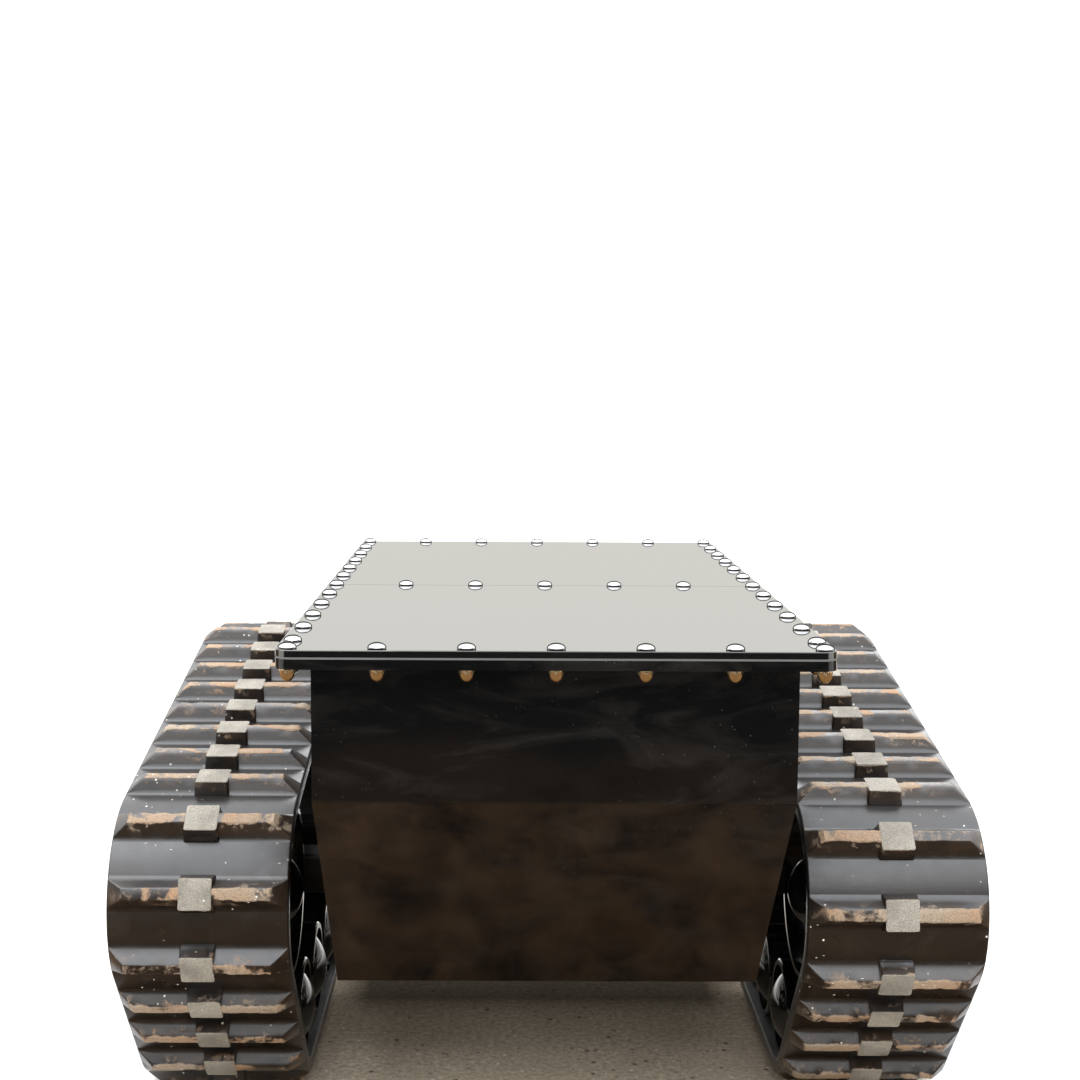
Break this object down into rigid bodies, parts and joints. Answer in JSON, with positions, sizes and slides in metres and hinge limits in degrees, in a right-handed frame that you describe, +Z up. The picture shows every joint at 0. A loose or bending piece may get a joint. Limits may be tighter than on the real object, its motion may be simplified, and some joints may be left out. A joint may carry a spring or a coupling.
{
  "type": "tracked tank chassis",
  "caption": "Low tracked robot chassis: a bolted gloss-black hull carried between two rubber tracks with sprockets, idlers and road wheels.",
  "frame": {"origin": "on the ground plane under the middle of the lid", "axes": "+Z up, -Y towards the chassis's front, +X to the right as seen from the front"},
  "size_m": [0.978, 1.013, 0.6212],
  "materials": {
    "hull_paint": "gloss black paint, lightly dusted",
    "lid_paint": "mirror-gloss black paint",
    "wheel_paint": "gloss black paint",
    "frame_paint": "satin black paint",
    "motor_paint": "satin black paint",
    "cast_housing": "grey cast housing",
    "bolt_chrome": "polished",
    "nut_zinc": "yellow-passivated, polished",
    "machined_steel": "machined",
    "track_rubber": "moulded, dusty, worn tan on the bar crests",
    "gasket_rubber": "pale grey foam strip",
    "bare_aluminium": "brushed",
    "battery_case": "moulded",
    "moulded_plastic": "fine texture"
  },
  "bodies": {
    "chassis": {"hull_front_plate": "hull_paint", "hull_left_plate": "hull_paint", "hull_right_plate": "hull_paint", "hull_bottom_plate": "hull_paint", "hull_rear_plate": "hull_paint", "hull_rim_flange": "hull_paint", "lid_gasket": "gasket_rubber", "lid_front_plate": "lid_paint", "lid_rear_plate": "lid_paint", "lid_seam_strip": "hull_paint", "lid_bolts": "bolt_chrome", "lid_nuts": "nut_zinc", "battery_tray": "bare_aluminium", "battery_pack": "battery_case", "motor_controller": "bare_aluminium", "charge_socket": "moulded_plastic", "switch_bezel": "moulded_plastic", "left_drive_motor": "motor_paint", "left_gearbox": "cast_housing", "left_shaft_bearing": "cast_housing", "left_track_belt": "track_rubber", "left_track_frame": "frame_paint", "left_cross_brackets": "frame_paint", "left_mount_bolts": "machined_steel", "left_road_axles": "machined_steel", "left_wheel_bearings": "machined_steel", "left_return_axle": "machined_steel", "left_tension_nut": "nut_zinc", "right_drive_motor": "motor_paint", "right_gearbox": "cast_housing", "right_shaft_bearing": "cast_housing", "right_track_belt": "track_rubber", "right_track_frame": "frame_paint", "right_cross_brackets": "frame_paint", "right_mount_bolts": "machined_steel", "right_road_axles": "machined_steel", "right_wheel_bearings": "machined_steel", "right_return_axle": "machined_steel", "right_tension_nut": "nut_zinc"},
    "left_drive": {"left_drive_shaft": "machined_steel", "left_sprocket": "wheel_paint"},
    "left_idler_carrier": {"left_idler_slider": "frame_paint", "left_idler_axle": "machined_steel", "left_tension_screw": "machined_steel"},
    "left_idler": {"left_idler_wheel": "wheel_paint"},
    "left_return_roller": {"left_return_roller": "wheel_paint"},
    "left_road_wheel_1": {"left_road_wheel_1": "wheel_paint"},
    "left_road_wheel_2": {"left_road_wheel_2": "wheel_paint"},
    "left_road_wheel_3": {"left_road_wheel_3": "wheel_paint"},
    "right_drive": {"right_drive_shaft": "machined_steel", "right_sprocket": "wheel_paint"},
    "right_idler_carrier": {"right_idler_slider": "frame_paint", "right_idler_axle": "machined_steel", "right_tension_screw": "machined_steel"},
    "right_idler": {"right_idler_wheel": "wheel_paint"},
    "right_return_roller": {"right_return_roller": "wheel_paint"},
    "right_road_wheel_1": {"right_road_wheel_1": "wheel_paint"},
    "right_road_wheel_2": {"right_road_wheel_2": "wheel_paint"},
    "right_road_wheel_3": {"right_road_wheel_3": "wheel_paint"},
    "power_rocker": {"power_rocker": "moulded_plastic"}
  },
  "joints": [
    {"name": "left_drive_spin", "type": "hinge", "parent": "chassis", "child": "left_drive", "pos_m": [-0.386, 0.349, 0.37], "axis": [1, 0, 0], "continuous": true, "deforming": ["left_track_belt"]},
    {"name": "left_idler_tension", "type": "slide", "parent": "chassis", "child": "left_idler_carrier", "axis": [0, 1, 0], "range_m": [0, 0.02]},
    {"name": "left_idler_spin", "type": "hinge", "parent": "left_idler_carrier", "child": "left_idler", "pos_m": [-0.386, -0.17683, 0.276], "axis": [1, 0, 0], "continuous": true},
    {"name": "left_return_spin", "type": "hinge", "parent": "chassis", "child": "left_return_roller", "pos_m": [-0.386, 0.066, 0.38737], "axis": [1, 0, 0], "continuous": true},
    {"name": "left_road_wheel_1_spin", "type": "hinge", "parent": "chassis", "child": "left_road_wheel_1", "pos_m": [-0.386, -0.072, 0.094], "axis": [1, 0, 0], "continuous": true},
    {"name": "left_road_wheel_2_spin", "type": "hinge", "parent": "chassis", "child": "left_road_wheel_2", "pos_m": [-0.386, 0.062, 0.094], "axis": [1, 0, 0], "continuous": true},
    {"name": "left_road_wheel_3_spin", "type": "hinge", "parent": "chassis", "child": "left_road_wheel_3", "pos_m": [-0.386, 0.196, 0.094], "axis": [1, 0, 0], "continuous": true},
    {"name": "right_drive_spin", "type": "hinge", "parent": "chassis", "child": "right_drive", "pos_m": [0.386, 0.349, 0.37], "axis": [1, 0, 0], "continuous": true, "deforming": ["right_track_belt"]},
    {"name": "right_idler_tension", "type": "slide", "parent": "chassis", "child": "right_idler_carrier", "axis": [0, 1, 0], "range_m": [0, 0.02]},
    {"name": "right_idler_spin", "type": "hinge", "parent": "right_idler_carrier", "child": "right_idler", "pos_m": [0.386, -0.17683, 0.276], "axis": [1, 0, 0], "continuous": true},
    {"name": "right_return_spin", "type": "hinge", "parent": "chassis", "child": "right_return_roller", "pos_m": [0.386, 0.066, 0.38737], "axis": [1, 0, 0], "continuous": true},
    {"name": "right_road_wheel_1_spin", "type": "hinge", "parent": "chassis", "child": "right_road_wheel_1", "pos_m": [0.386, -0.072, 0.094], "axis": [1, 0, 0], "continuous": true},
    {"name": "right_road_wheel_2_spin", "type": "hinge", "parent": "chassis", "child": "right_road_wheel_2", "pos_m": [0.386, 0.062, 0.094], "axis": [1, 0, 0], "continuous": true},
    {"name": "right_road_wheel_3_spin", "type": "hinge", "parent": "chassis", "child": "right_road_wheel_3", "pos_m": [0.386, 0.196, 0.094], "axis": [1, 0, 0], "continuous": true},
    {"name": "power_switch", "type": "hinge", "parent": "chassis", "child": "power_rocker", "pos_m": [0.12, 0.4725, 0.47], "axis": [0, 0, 1], "range_deg": [0, 14]}
  ],
  "couplings": [
    {"joint": "left_idler_spin", "follows": "left_drive_spin", "ratio": 1.061},
    {"joint": "left_return_spin", "follows": "left_drive_spin", "ratio": 3.1831},
    {"joint": "left_road_wheel_1_spin", "follows": "left_drive_spin", "ratio": 1.6852},
    {"joint": "left_road_wheel_2_spin", "follows": "left_drive_spin", "ratio": 1.9195},
    {"joint": "left_road_wheel_3_spin", "follows": "left_drive_spin", "ratio": 1.6852},
    {"joint": "right_idler_spin", "follows": "right_drive_spin", "ratio": 1.061},
    {"joint": "right_return_spin", "follows": "right_drive_spin", "ratio": 3.1831},
    {"joint": "right_road_wheel_1_spin", "follows": "right_drive_spin", "ratio": 1.6852},
    {"joint": "right_road_wheel_2_spin", "follows": "right_drive_spin", "ratio": 1.9195},
    {"joint": "right_road_wheel_3_spin", "follows": "right_drive_spin", "ratio": 1.6852}
  ]
}
